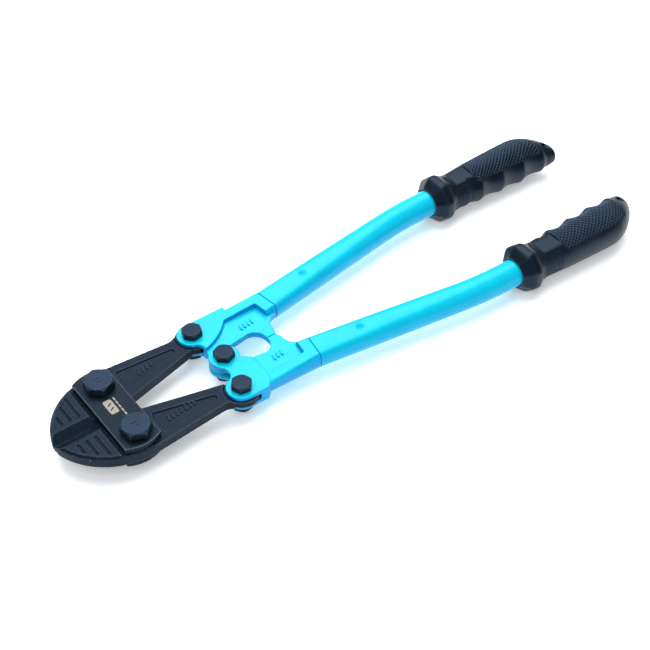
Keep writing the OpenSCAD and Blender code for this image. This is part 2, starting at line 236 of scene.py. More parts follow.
def shade(base, k):
    """A colour with its light multiplied by k."""
    return (*(min(1.0, c * k) for c in tuple(base)[:3]), 1.0)


def powder_coat(name, lumps, blue):
    """Steel, powder coated sky blue: an even, fairly glossy polyester skin with orange peel at about
    1.4 mm. Its colour carries painted shade: deeper blue on upright sides than on faces that look up or
    down, and deep blue in corners. Forged pieces show the skin of the die below it, as soft lumps about 4 mm
    across."""
    base = colours().paint
    mat, tree, where = blank(name)
    shape = add(tree, "ShaderNodeNewGeometry").outputs

    # colour: faintly clouded, with painted shade that makes upright faces bluer and corners deep blue
    cloud = add(tree, "ShaderNodeTexNoise", {"Vector": where, "Scale": spots(15), "Detail": 3.0})
    veil = add(
        tree,
        "ShaderNodeValToRGB",
        {"Fac": cloud.outputs["Fac"]},
        [(0.35, base), (0.75, shade(base, 0.9))],
    )
    # painted shade: the more upright the face, by the absolute z of its normal, the more its colour is mixed
    # toward a deeper blue
    upward = add(tree, "ShaderNodeSeparateXYZ", {0: shape["Normal"]})
    level = add(tree, "ShaderNodeMath", {0: upward.outputs["Z"]}, operation="ABSOLUTE")
    side = add(
        tree, "ShaderNodeValToRGB", {"Fac": level.outputs[0]}, [(0.05, grey(blue)), (0.85, grey(0.0))]
    )
    sided = add(
        tree,
        "ShaderNodeMix",
        {"Factor": side.outputs["Color"], "A": veil.outputs["Color"], "B": linear("#0068DC")},
        data_type="RGBA",
    )
    # painted shade: corners, where pointiness is low, are mixed toward deep blue
    painted_crease_shade = add(
        tree, "ShaderNodeValToRGB", {"Fac": shape["Pointiness"]}, [(0.43, grey(0.9)), (0.49, grey(0.0))]
    )
    mixed = add(
        tree,
        "ShaderNodeMix",
        {"Factor": painted_crease_shade.outputs["Color"], "A": sided.outputs[2], "B": linear("#0038D0")},
        data_type="RGBA",
    )

    # surface: the die's skin below the orange peel
    peel = add(tree, "ShaderNodeTexNoise", {"Vector": where, "Scale": spots(1.385), "Detail": 1.5})
    die = add(tree, "ShaderNodeTexNoise", {"Vector": where, "Scale": spots(3.75), "Detail": 3.0})
    low = add(
        tree, "ShaderNodeBump", {"Height": die.outputs["Fac"], "Strength": lumps, "Distance": 0.5 * MM}
    )
    bump = add(
        tree,
        "ShaderNodeBump",
        {
            "Height": peel.outputs["Fac"],
            "Strength": 0.15,
            "Distance": 0.2 * MM,
            "Normal": low.outputs["Normal"],
        },
    )
    rough = add(
        tree, "ShaderNodeValToRGB", {"Fac": peel.outputs["Fac"]}, [(0.3, grey(0.26)), (0.7, grey(0.38))]
    )
    shader = add(
        tree,
        "ShaderNodeBsdfPrincipled",
        {
            "Base Color": mixed.outputs[2],
            "Metallic": 0.0,
            "Roughness": rough.outputs["Color"],
            "IOR": 1.5,
            "Specular IOR Level": 0.3,
            "Specular Tint": linear("#38D8FF"),
            "Coat Weight": 0.15,
            "Coat Roughness": 0.12,
            "Normal": bump.outputs["Normal"],
        },
    )
    add(tree, "ShaderNodeOutputMaterial", {"Surface": shader.outputs["BSDF"]})
    return mat


def black_oxide(name, base, rough, grain, wear):
    """Steel, hot blackened and oiled: a thin satin oxide, blue-black, that is worn to grey on its edges.
    Grain is the spot size of the forged or rolled skin in mm, and wear the share of bare edge."""
    mat, tree, where = blank(name)
    edge = add(tree, "ShaderNodeNewGeometry").outputs["Pointiness"]
    cloud = add(
        tree,
        "ShaderNodeTexNoise",
        {"Vector": where, "Scale": spots(10), "Detail": 5.0, "Roughness": 0.6},
    )
    fine = add(
        tree,
        "ShaderNodeTexNoise",
        {"Vector": where, "Scale": spots(grain), "Detail": 4.0, "Roughness": 0.55},
    ).outputs["Fac"]

    # colour: blotched oxide, darkened in the hollows by painted shade, and bare steel along edges that the
    # grain breaks up
    tone = add(
        tree,
        "ShaderNodeValToRGB",
        {"Fac": cloud.outputs["Fac"]},
        [(0.3, shade(base, 0.72)), (0.55, base), (0.8, shade(base, 1.3))],
    )
    # painted shade: the hollows, where pointiness is low, are multiplied darker into the oxide tone
    painted_hollow_shade = add(tree, "ShaderNodeValToRGB", {"Fac": edge}, [(0.42, grey(0.25)), (0.49, grey(1.0))])
    oxide = add(
        tree,
        "ShaderNodeMix",
        {"Factor": 1.0, "A": tone.outputs["Color"], "B": painted_hollow_shade.outputs["Color"]},
        data_type="RGBA",
        blend_type="MULTIPLY",
    )
    ragged = add(tree, "ShaderNodeMath", {0: fine, 1: 0.06}, operation="MULTIPLY")
    broken = add(tree, "ShaderNodeMath", {0: edge, 1: ragged.outputs[0]}, operation="ADD")
    bare = add(
        tree, "ShaderNodeValToRGB", {"Fac": broken.outputs[0]}, [(0.535, grey(0.0)), (0.60, grey(wear))]
    )
    mixed = add(
        tree,
        "ShaderNodeMix",
        {"Factor": bare.outputs["Color"], "A": oxide.outputs[2], "B": linear("#8C97A3")},
        data_type="RGBA",
    )

    bump = add(tree, "ShaderNodeBump", {"Height": fine, "Strength": 0.35, "Distance": 0.12 * MM})
    rougher = add(
        tree, "ShaderNodeValToRGB", {"Fac": fine}, [(0.3, grey(rough - 0.07)), (0.7, grey(rough + 0.08))]
    )
    shader = add(
        tree,
        "ShaderNodeBsdfPrincipled",
        {
            "Base Color": mixed.outputs[2],
            "Metallic": 0.2,
            "Roughness": rougher.outputs["Color"],
            "IOR": 1.5,
            "Specular IOR Level": 0.3,
            "Specular Tint": linear("#8FB4E0"),
            "Normal": bump.outputs["Normal"],
        },
    )
    add(tree, "ShaderNodeOutputMaterial", {"Surface": shader.outputs["BSDF"]})
    return mat


def moulded_rubber(name):
    """Thermoplastic rubber, injection moulded: matt blue-black with a soft sheen, with a painted highlight on
    its ridges and painted shade in its hollows. Its spark-eroded mould grain is drawn coarser than the real
    one, at about
    0.5 mm, so that it shows."""
    base = colours().rubber
    mat, tree, where = blank(name)
    edge = add(tree, "ShaderNodeNewGeometry").outputs["Pointiness"]
    grain = add(tree, "ShaderNodeTexNoise", {"Vector": where, "Scale": spots(0.5), "Detail": 2.0})
    cloud = add(tree, "ShaderNodeTexNoise", {"Vector": where, "Scale": spots(20), "Detail": 3.0})
    # painted shade and painted highlight: by pointiness, the hollows are darkened and the ridges lit paler
    tone = add(
        tree,
        "ShaderNodeValToRGB",
        {"Fac": edge},
        [(0.42, shade(base, 0.25)), (0.485, base), (0.52, base), (0.60, linear("#435467"))],
    )
    handled = add(
        tree, "ShaderNodeValToRGB", {"Fac": cloud.outputs["Fac"]}, [(0.4, grey(0.0)), (0.8, grey(0.35))]
    )
    mixed = add(
        tree,
        "ShaderNodeMix",
        {"Factor": handled.outputs["Color"], "A": tone.outputs["Color"], "B": linear("#1A222D")},
        data_type="RGBA",
    )
    bump = add(
        tree, "ShaderNodeBump", {"Height": grain.outputs["Fac"], "Strength": 0.25, "Distance": 0.1 * MM}
    )
    rough = add(
        tree, "ShaderNodeValToRGB", {"Fac": cloud.outputs["Fac"]}, [(0.3, grey(0.33)), (0.75, grey(0.45))]
    )
    shader = add(
        tree,
        "ShaderNodeBsdfPrincipled",
        {
            "Base Color": mixed.outputs[2],
            "Metallic": 0.0,
            "Roughness": rough.outputs["Color"],
            "IOR": 1.5,
            "Specular IOR Level": 0.42,
            "Specular Tint": linear("#8FB4E0"),
            "Normal": bump.outputs["Normal"],
        },
    )
    add(tree, "ShaderNodeOutputMaterial", {"Surface": shader.outputs["BSDF"]})
    return mat


def screen_print(name):
    """Screen-printing ink, baked on: a thin flat cream film, with specks about 0.6 mm across where the
    steel shows through."""
    mat, tree, where = blank(name)
    speck = add(tree, "ShaderNodeTexNoise", {"Vector": where, "Scale": spots(0.643), "Detail": 3.0})
    tone = add(
        tree,
        "ShaderNodeValToRGB",
        {"Fac": speck.outputs["Fac"]},
        [(0.32, linear("#6E6A60")), (0.42, colours().print_ink), (0.8, linear("#B0A898"))],
    )
    bump = add(
        tree, "ShaderNodeBump", {"Height": speck.outputs["Fac"], "Strength": 0.1, "Distance": 0.05 * MM}
    )
    shader = add(
        tree,
        "ShaderNodeBsdfPrincipled",
        {
            "Base Color": tone.outputs["Color"],
            "Metallic": 0.0,
            "Roughness": 0.5,
            "IOR": 1.5,
            "Normal": bump.outputs["Normal"],
        },
    )
    add(tree, "ShaderNodeOutputMaterial", {"Surface": shader.outputs["BSDF"]})
    return mat


def light_table(name):
    """Opal acrylic sheet of a light table: matt white, faintly clouded over about 300 mm and lit from
    below, which lifts the shadows on it."""
    base = colours().floor
    mat, tree, where = blank(name)
    cloud = add(tree, "ShaderNodeTexNoise", {"Vector": where, "Scale": spots(300), "Detail": 2.0})
    tone = add(
        tree,
        "ShaderNodeValToRGB",
        {"Fac": cloud.outputs["Fac"]},
        [(0.3, shade(base, 0.985)), (0.7, base)],
    ).outputs["Color"]
    shader = add(
        tree,
        "ShaderNodeBsdfPrincipled",
        {"Base Color": tone, "Roughness": 0.9, "IOR": 1.4, "Emission Color": tone, "Emission Strength": 0.36},
    )
    add(tree, "ShaderNodeOutputMaterial", {"Surface": shader.outputs["BSDF"]})
    return mat


def finish_for(kind):
    """The material of a kind of piece, made the first time it is asked for."""
    found = bpy.data.materials.get(kind)
    if found:
        return found
    c = colours()
    maker, *settings = {
        # how much the die's lumps show, and how strong the painted shade on upright sides is
        "powder_coated_forging": (powder_coat, 0.22, 0.55),
        "powder_coated_tube": (powder_coat, 0.06, 0.3),
        # colour, roughness, grain in mm, and wear
        "blackened_forged_steel": (black_oxide, c.jaw, 0.46, 1.2, 0.30),
        "blackened_plate_steel": (black_oxide, c.strap, 0.40, 0.75, 0.55),
        "blackened_jaw_bolt_steel": (black_oxide, c.jaw_bolt, 0.38, 0.9, 0.35),
        "phosphated_bolt_steel": (black_oxide, c.bolt, 0.42, 0.75, 0.35),
        "moulded_rubber": (moulded_rubber,),
        "screen_print_ink": (screen_print,),
        "opal_acrylic_sheet": (light_table,),
    }[kind]
    return maker(kind, *settings)


# ---------- meshes ----------


def placed(name, data):
    """A new object in the scene, at the origin."""
    made = bpy.data.objects.new(name, data)
    bpy.context.scene.collection.objects.link(made)
    return made


def make_mesh(name, points, faces):
    """An object at the origin from points in mm measured from the centre bolt."""
    mesh = bpy.data.meshes.new(name)
    mesh.from_pydata(((points + CENTRE) * MM).tolist(), [], faces)
    mesh.validate()
    mesh.update()
    mesh.polygons.foreach_set("use_smooth", np.ones(len(mesh.polygons), bool))
    return placed(name, mesh)


def skin(rings, closed=False):
    """Points and quads of a stack of rings (n, m, 3). Each ring closes on itself; the stack
    closes on itself too, or else each end is closed by a fan to its ring's mean point."""
    n, m = rings.shape[:2]
    points = rings.reshape(-1, 3)
    i = np.arange(n if closed else n - 1)[:, None]
    j = np.arange(m)[None, :]
    a = i * m + j
    b = i * m + (j + 1) % m
    up = (i + 1) % n
    quads = np.stack([a, b, up * m + (j + 1) % m, up * m + j], -1).reshape(-1, 4).tolist()
    if closed:
        return points, quads
    ends = rings[[0, -1]].mean(1)
    j = np.arange(m)
    first = np.stack([np.full(m, n * m), (j + 1) % m, j], -1).tolist()
    last = np.stack([np.full(m, n * m + 1), (n - 1) * m + j, (n - 1) * m + (j + 1) % m], -1).tolist()
    return np.concatenate([points, ends]), quads + first + last


def mirrored(piece, name):
    """A copy on the other side of the middle line: y turns to -y and the faces are turned back outward."""
    mesh = piece.data.copy()
    co = np.empty(len(mesh.vertices) * 3)
    mesh.vertices.foreach_get("co", co)
    co[1::3] *= -1
    mesh.vertices.foreach_set("co", co)
    mesh.flip_normals()
    mesh.update()
    return placed(name, mesh)


def dress(piece, body, kind, slot, *stands_for):
    """Gives a new piece its finish, its body and the CAD nodes that it stands for."""
    piece.data.materials.clear()
    piece.data.materials.append(finish_for(kind))
    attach(piece, body)
    if stands_for:
        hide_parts(*stands_for)


def round_cad(node, kind, voxel):
    """Puts a finish on a CAD node and rounds its edges: its triangles are joined, rebuilt on a
    fine grid and smoothed, as a forging's edges are."""
    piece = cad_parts.get(node)
    if piece is None:
        raise RuntimeError(f"the frame has no {node}")
    for k in range(len(piece.data.materials)):
        piece.data.materials[k] = finish_for(kind)
    weld = piece.modifiers.new("Weld", "WELD")
    weld.merge_threshold = 1e-6
    grid = piece.modifiers.new("Remesh", "REMESH")
    grid.mode = "VOXEL"
    grid.voxel_size = voxel
    grid.use_smooth_shade = True
    smooth = piece.modifiers.new("Smooth", "SMOOTH")
    smooth.factor, smooth.iterations = 0.5, 4


def ease(x):
    """Smooth step from 0 to 1: 3x^2 - 2x^3 with x held between 0 and 1."""
    x = np.clip(x, 0, 1)
    return x * x * (3 - 2 * x)


def soft_min(a, b, k):
    """The lesser of a and b, rounded over a width k where they meet."""
    h = np.clip(0.5 + (b - a) / (2 * k), 0, 1)
    return b * (1 - h) + a * h - k * h * (1 - h)


def falling_arc(behind, run, top, radius):
    """Height on an arc that leaves the level top and falls over the last run of a piece, where behind
    is the distance past its end: top - radius + sqrt(radius^2 - (behind + run)^2)."""
    return top - radius + np.sqrt(np.maximum(radius**2 - np.clip(behind + run, 0, run) ** 2, 0.0))


def superellipse(angle, power):
    """Unit superellipse: cos and sin of the angle, each to the power 2 / power, with their signs."""
    c, s = np.cos(angle), np.sin(angle)
    return np.sign(c) * np.abs(c) ** (2 / power), np.sign(s) * np.abs(s) ** (2 / power)


# ---------- jaws and marks ----------


def cutting_edge(name):
    """The ground edge of a jaw: a wedge carried along x. Its land stands on the middle plane, and its
    flanks leave on the bevels' slope and sink a little below them."""
    s = sizes()
    deep, sunk, corner_run = 1.3, 0.07, 0.04
    front, rear = TOOL_FRONT + 0.2, JAW_BOLT[0] - 11.5
    slope = (s.jaw_half - s.edge_land) / (s.bevel_width - s.edge_gap)
    back = s.edge_land + slope * deep - sunk
    outline = np.array([[0, -s.edge_land], [deep, -back], [deep, back], [0, s.edge_land], [0, -s.edge_land]])
    # three points on each side of the outline, with two of them close to its corners
    t = np.concatenate([[k, k + corner_run, k + 1 - corner_run] for k in range(4)])
    y, z = (np.interp(t, np.arange(5), outline[:, k]) for k in (0, 1))
    x = np.linspace(front, rear, 40)[:, None]
    rings = np.stack([x + 0 * y, s.edge_gap + y + 0 * x, z + 0 * x], -1)
    return make_mesh(name, *skin(rings))


def pad(name, centre, half, height, turn=0.0, power=5.0):
    """A low raised pad: rings of one superellipse that climb from a little below z = 0 to the height,
    round over the rim on a quarter circle and close at the middle. Half is its (x, y) half sizes in mm."""
    root = -0.3
    angle = np.linspace(0, 2 * np.pi, 28, endpoint=False)
    ex, ey = superellipse(angle, power)
    rim = min(height, min(half) * 0.5)
    t = np.linspace(0, np.pi / 2, 5)
    inset = np.concatenate([[0.0], rim * (1 - np.cos(t)), [min(half) * 0.8]])
    level = np.concatenate([[root], height - rim + rim * np.sin(t), [height]])
    x = ex * (half[0] - inset)[:, None]
    y = ey * (half[1] - inset)[:, None]
    c, s = math.cos(turn), math.sin(turn)
    z = centre[2] + level[:, None] + 0 * x
    rings = np.stack([centre[0] + c * x - s * y, centre[1] + s * x + c * y, z], -1)
    return make_mesh(name, *skin(rings))


# ---------- tubes ----------

# as the CAD has them, in mm
SEAM = (53.0, 28.1)  # middle of the left tube's front end, from the centre bolt
SEAM_GAP = 0.15  # from the seam to the tube's front face
TUBE_SHORT = 33.0  # from the tube's rear end to the grip's
CRIMP = 35.0  # from the seam to the middle of the crimp dimple


def tube_run():
    """Lengths of a tube's leaning straight, of its arc, and of the whole."""
    s = sizes()
    straight = (s.grip_spread - s.bend_radius * (1 - math.cos(s.lean)) - SEAM[1]) / math.sin(s.lean)
    arc = s.bend_radius * s.lean
    arc_end = SEAM[0] + straight * math.cos(s.lean) + s.bend_radius * math.sin(s.lean)
    return straight, arc, straight + arc + GRIP_BOX[1][0] - TUBE_SHORT - arc_end


def along_tube(d, across, tall):
    """Rings of points, from their places across and above a tube's axis, d behind the seam. The axis
    runs straight at the lean, turns on an arc until it is parallel to x, and ends along x."""
    s = sizes()
    lean, bend = s.lean, s.bend_radius
    straight, arc, _ = tube_run()
    on_straight = np.minimum(d, straight)
    on_arc = np.clip(d - straight, 0, arc)
    turn = lean * (1 - np.clip((d - straight) / arc, 0, 1))
    x = SEAM[0] + on_straight * math.cos(lean)
    y = SEAM[1] + on_straight * math.sin(lean)
    x = x + bend * (math.sin(lean) - np.sin(lean - on_arc / bend)) + np.maximum(d - straight - arc, 0)
    y = y + bend * (np.cos(lean - on_arc / bend) - math.cos(lean))
    return np.stack([x - across * np.sin(turn), y + across * np.cos(turn), tall], -1)


def tube_section(d):
    """Outside radius of a tube and half its height across the flats, d behind the seam: the radius
    narrows evenly over the straight, and the flats rise evenly and so run out before the grip."""
    s = sizes()
    straight = tube_run()[0]
    radius = s.tube_front + (s.tube_rear - s.tube_front) * np.clip(d / straight, 0, 1)
    return radius, s.tube_flat + s.flat_rise * d / straight


def tube_outside(d, angle):
    """A tube's outer skin: a circle held softly between two flats, with a quarter-round lip at the
    front. A bell-shaped dimple dents it above and below, and a lower bell raises a rim round that."""
    s = sizes()
    lip_inset, lip_run = 0.35, 0.45
    flat_corner = 2.6
    dimple_radius, rim_height, rim_radius, rim_width = 1.75, 0.22, 3.1, 0.8
    radius, flat = tube_section(d)
    lip = lip_inset * (1 - np.sqrt(1 - (1 - np.clip((d - SEAM_GAP) / lip_run, 0, 1)) ** 2))
    ex, ez = np.cos(angle), np.sin(angle)
    across = (radius - lip) * ex
    tall = np.sign(ez) * soft_min((radius - lip) * np.abs(ez), flat - lip, flat_corner)
    away = np.sqrt((d - CRIMP) ** 2 + across**2)
    rim = rim_height * np.exp(-(((away - rim_radius) / rim_width) ** 2))
    dent = s.dimple_depth * np.exp(-((away / dimple_radius) ** 2)) - rim
    tall = tall - np.sign(ez) * dent * (np.abs(ez) > 0.4)
    return along_tube(d, across, tall)


def tube_bore(d, angle):
    """A tube's bore: its outside radius and flats, each less the wall, with sharp corners."""
    wall = sizes().tube_wall
    radius, flat = tube_section(d)
    across, tall = (radius - wall) * np.cos(angle), (radius - wall) * np.sin(angle)
    return along_tube(d, across, np.sign(tall) * np.minimum(np.abs(tall), flat - wall))


def tube_surface(name):
    """A handle tube: its outer skin runs back from the seam, with its rings close together at the lip
    and the crimp, and its bore returns to the front."""
    total = tube_run()[2]
    lip = [SEAM_GAP, 0.22, 0.35, 0.6]
    crimp_start, crimp_end = CRIMP - 7, CRIMP + 7
    front = np.linspace(1, crimp_start, 20)
    crimp = np.arange(crimp_start, crimp_end, 0.45)
    out = np.unique(np.concatenate([lip, front, crimp, np.linspace(crimp_end, total, 70)]))[:, None]
    back = np.linspace(total, SEAM_GAP, 30)[:, None]
    angle = np.linspace(0, 2 * np.pi, 144, endpoint=False)[None, :]
    rings = np.concatenate([tube_outside(out, angle), tube_bore(back, angle)])[:, ::-1]
    return make_mesh(name, *skin(rings, closed=True))


# ---------- grips ----------

GRID = 0.43  # spacing of a grip's points
AROUND = 240  # points round a grip
NECK_START = 15  # where the rings start to stand close, and the ribs are counted from
HATCH_START = 33  # where two lines of the hatching cross
TIP = 8.0  # length of a grip's round end


def grip_stations(length):
    """Distances of a grip's rings from its front: close together at the mouth, at half the grid's
    spacing over the neck and ribs, then on the grid, and closing up as a sine at the tip."""
    mouth = [0.0, 0.06, 0.2, 0.45, 0.8, 1.2, 2.0, 3.5, 5.5, 7.5, 9.0]
    neck_end = HATCH_START + 12 * GRID
    collar = np.arange(9.8, NECK_START, GRID)
    neck = np.arange(NECK_START, neck_end, GRID / 2)
    body = np.arange(neck_end, length - TIP, GRID)
    tip = length - TIP + TIP * np.sin(np.linspace(0, np.pi / 2, 22)[1:])
    return np.concatenate([mouth, collar, neck, body, tip])[:, None]


def grip_radii(x, length):
    """Radius of a grip's shaft, and of its collar's corners: straight runs between a few (distance,
    radius) stations, with their corners rounded by a running mean under a raised cosine."""
    s = sizes()
    neck, full, corner = s.neck_radius, s.grip_radius, s.collar_radius
    fine = np.linspace(0, length, 1200)
    weights = np.hanning(17)
    weights /= weights.sum()

    def rounded(*stations):
        """Radius at x through these stations."""
        run = np.interp(fine, *zip(*stations))
        return np.interp(x, fine, np.convolve(np.pad(run, 8, "edge"), weights, "valid"))

    shaft = rounded(
        (0, neck + 3),
        (19, neck + 0.1),
        (24, neck - 0.6),
        (30, neck - 0.2),
        (43, neck + 0.75),
        (80, full - 0.1),
        (length, full),
    )
    collar = rounded(
        (0, 12.2),
        (0.9, 13.0),
        (6.8, corner - 0.4),
        (8.0, corner),
        (11.8, corner),
        (18.2, neck + 0.3),
        (24, neck - 1.6),
        (length, neck - 3),
    )
    return shaft, collar


def grip_outline(x, shaft, length):
    """Reach of a grip outward and inward in plan, half its height, and how far its end has closed. In
    plan the outer side slants in on a large arc and the inner on a small one. From the side the end
    thins on an arc above and below. The last 5 mm close on a quarter ellipse."""
    behind, last = x - length, 5
    outer = soft_min(shaft, falling_arc(behind, run=39.9, top=17.6, radius=44.6), 1.2)
    inner = soft_min(shaft, falling_arc(behind, run=TIP, top=17.0, radius=8.0), 0.3)
    tall = soft_min(shaft, falling_arc(behind, run=42, top=16.95, radius=74.0), 1.2)
    close = np.sqrt(np.maximum(1 - np.clip((behind + last) / last, 0, 1) ** 2, 0))
    return outer, inner, tall * close, close


def collar_ring(angle, collar):
    """Radius of the eight-sided collar: a side's distance over the cosine from its middle, with the
    greatest of the eight cosines rounded by a power sum, and held to the corner radius."""
    sides, power = 8, 26
    middles = np.arange(sides)[:, None, None] * 2 * np.pi / sides
    most = (np.maximum(np.cos(angle[None] - middles), 0) ** power).sum(0) ** (1 / power)
    return np.minimum(collar * math.cos(math.pi / sides) / most, sizes().collar_radius)


def with_collar(x, angle, collar, y, z):
    """Draws the section (y, z) to the collar's ring in front, and blends back to the section behind.
    Past its widest part the collar is never less than the section."""
    front, widest, end, blend_run = 10, 13, 21.5, 6
    ring = collar_ring(angle, collar)
    now = np.sqrt(y**2 + z**2)
    blend = ease((end - x) / blend_run)
    wanted = now * (1 - blend) + np.maximum(ring, now * (x > widest)) * blend
    gain = np.where(x < front, ring, wanted) / np.maximum(now, 1e-6)
    return y * gain, z * gain


def finger_hollows(x, angle, length):
    """Depth of the hollows along the inner side: the size of a sine over 20.3 mm, softened at its
    zeros, where the crests between the hollows stand a little proud."""
    crest, spacing, proud = 42.2, 20.3, 0.45
    start, end, reach = 30, length - 9, 1.32
    inward = np.abs(np.pi - angle)
    wave = np.sqrt(np.sin(np.pi * (x - crest) / spacing) ** 2 + 0.012) - 0.11
    span = ease((x - start) / 4) * ease((end - x) / 7) * ease((reach - inward) / 0.62)
    return (sizes().finger_depth * wave - proud * (1 - wave)) * span


def side_ribs(x, angle):
    """Depth of the fine ribs on both flanks: a cosine along the grip, every four grid steps."""
    start, end, fade, reach = 18.6, 36.4, 1.2, 0.98
    flank = np.minimum(np.abs(np.pi - angle), np.minimum(angle, 2 * np.pi - angle))
    run = ease((x - start) / fade) * ease((end - x) / fade)
    rib = 0.5 - 0.5 * np.cos(2 * np.pi * (x - NECK_START) / (4 * GRID))
    return sizes().rib_depth * rib * run * ease((reach - flank) / 0.12)


def diamond_hatching(x, angle, rim):
    """Depth of the hatched panels above and below: a rounded rectangle on the skin, sunk between raised
    bell-shaped lines at 45 degrees. Rim is the distance inside the grip's own outline."""
    centre, half_length, half_width, corner = 70.5, 31.0, 14.6, 4.0
    pitch, line, margin = 8 * GRID, 0.36, 3.8
    side = np.where(angle < np.pi, np.pi / 2 - angle, angle - 3 * np.pi / 2)
    arc = side * AROUND * GRID / (2 * np.pi)
    box_x = np.abs(x - centre) - (half_length - corner)
    box_s = np.abs(arc) - (half_width - corner)
    past = np.sqrt(np.maximum(box_x, 0) ** 2 + np.maximum(box_s, 0) ** 2)
    outside = past + np.minimum(np.maximum(box_x, box_s), 0) - corner
    panel = ease(np.minimum(-outside, rim - margin) / 0.8 + 0.5) * (np.abs(side) < 1.2)
    across = [(x - HATCH_START + k * arc) / pitch for k in (1, -1)]
    ridges = [np.exp(-((np.abs(v - np.round(v)) * pitch / math.sqrt(2) / line) ** 2)) for v in across]
    return sizes().hatch_depth * panel * (1 - np.maximum(*ridges))


def thumb_flat(x, z):
    """Holds the height z under a flat above and below the neck, which rises steeply at both its ends."""
    level, step, front, rear = sizes().neck_radius - 2.2, 4.0, 22.5, 38.0
    slope = 0.05 * (x - 23)
    ends = step * ease((front - x) / 5) + step * ease((x - rear) / 2.0)
    held = soft_min(np.abs(z), level + slope + ends, 1.0)
    return np.sign(z) * np.where((x > 16) & (x < 41), held, np.abs(z))


def grip_bore(start, length, angle):
    """The bore that a tube fills, from its blind end out to the flared mouth."""
    s = sizes()
    bore = s.tube_rear + 0.05
    flare = [(length - 29, 0), (60.0, 0), (30.0, 0), (10.0, 0), (1.2, 0), (0.5, 0.15), (0.15, 0.6)]
    deep, wider = (np.array(v)[:, None] for v in zip(*flare))
    radius = bore + wider
    x = start + deep + 0 * angle
    return np.stack([x, s.grip_spread + radius * np.cos(angle), radius * np.sin(angle)], -1)


def grip_surface(name):
    """A moulded grip, as a section over length and angle: an eight-sided flared collar that rounds
    into a neck and swells to the full grip, then closes on a slanting, thinning end. Cut into
    it are a thumb flat, raised diamond hatching, finger hollows and fine ribs."""
    start, length = GRIP_BOX[0][0], GRIP_BOX[1][0] - GRIP_BOX[0][0]
    x = grip_stations(length)
    angle = (np.arange(AROUND) * 2 * np.pi / AROUND)[None, :]
    shaft, collar = grip_radii(x, length)
    outer, inner, tall, close = grip_outline(x, shaft, length)

    # the section's middle moves inward at the tip, and its corners square up along the grip
    tip = ease((x - (length - TIP)) / TIP)
    mid = (outer - inner) / 2 * (1 - tip) - 8.2 * tip
    ex, ez = superellipse(angle, 2.0 + 0.35 * ease((x - 80) / 35))
    y, z = mid + (outer + inner) / 2 * close * ex, tall * ez
    y, z = with_collar(x, angle, collar, y, z)

    rim = np.minimum(outer - y, y + inner)
    sunk = finger_hollows(x, angle, length) + side_ribs(x, angle) + diamond_hatching(x, angle, rim)
    z = thumb_flat(x, z)
    keep = 1 - sunk / np.maximum(np.sqrt((y - mid) ** 2 + z**2), 2.0)
    y, z = mid + (y - mid) * keep, z * keep

    outside = np.stack([start + x + 0 * y, sizes().grip_spread + y, z], -1)
    rings = np.concatenate([grip_bore(start, length, angle), outside])[:, ::-1]
    return make_mesh(name, *skin(rings))


def hang_hole(piece):
    """Bores the hanging hole down through the end of a grip: a round drill whose radius flares where it
    passes the skin above and below."""
    s = sizes()
    from_end, inward = 8.4, 7.0
    flare = [(7.6, 0), (8.4, 0.25), (9.6, 0.9), (24, 1.4)]
    level, wider = (np.array(v) for v in zip(*flare))
    z = np.concatenate([-level[::-1], level])[:, None]
    radius = s.hang_radius + np.concatenate([wider[::-1], wider])[:, None]
    angle = np.linspace(0, 2 * np.pi, 48, endpoint=False)[None, :]
    x, y = GRIP_BOX[1][0] - from_end, s.grip_spread - inward
    rings = np.stack([x + radius * np.cos(angle), y + radius * np.sin(angle), z + 0 * angle], -1)
    drill = make_mesh("hang_hole_drill", *skin(rings))
    cutter = piece.modifiers.new("Hole", "BOOLEAN")
    cutter.operation, cutter.object, cutter.solver = "DIFFERENCE", drill, "EXACT"
    dg = bpy.context.evaluated_depsgraph_get()
    drilled = bpy.data.meshes.new_from_object(piece.evaluated_get(dg))
    piece.modifiers.clear()
    piece.data = drilled
    bpy.data.objects.remove(drill)
    return piece


# ---------- stage ----------


def floor_sheet(name):
    """A flat sheet 12 m across, as a grid of two parameters, just below the tool."""
    half, count, below = 6, 5, 0.0001
    u, v = np.meshgrid(*[np.linspace(-half, half, count)] * 2, indexing="ij")
    points = np.stack([u, v, 0 * u - below], -1).reshape(-1, 3)
    a = (np.arange(count - 1)[:, None] * count + np.arange(count - 1)).ravel()
    mesh = bpy.data.meshes.new(name)
    mesh.from_pydata(points.tolist(), [], np.stack([a, a + count, a + count + 1, a + 1], -1).tolist())
    return placed(name, mesh)


def softbox(name, place, size, power):
    """A round soft light at a place in metres, turned to the middle of the floor."""
    light = bpy.data.lights.new(name, "AREA")
    light.shape, light.size, light.energy = "DISK", size, power
    lamp = placed(name, light)
    lamp.location = place
    lamp.rotation_euler = (-Vector(place)).to_track_quat("-Z", "Y").to_euler()


def aimed_camera(name, s):
    """A camera that looks at the aim from its azimuth, elevation and distance."""
    lens = bpy.data.cameras.new(name)
    lens.lens, lens.sensor_width = s.lens, 36.0
    camera = placed(name, lens)
    level = math.cos(s.elevation)
    back = Vector((math.sin(s.azimuth) * level, -math.cos(s.azimuth) * level, math.sin(s.elevation)))
    camera.location = Vector(s.aim) + back * s.distance
    camera.rotation_euler = (-back).to_track_quat("-Z", "Y").to_euler()
    return camera


# ---------- operators ----------


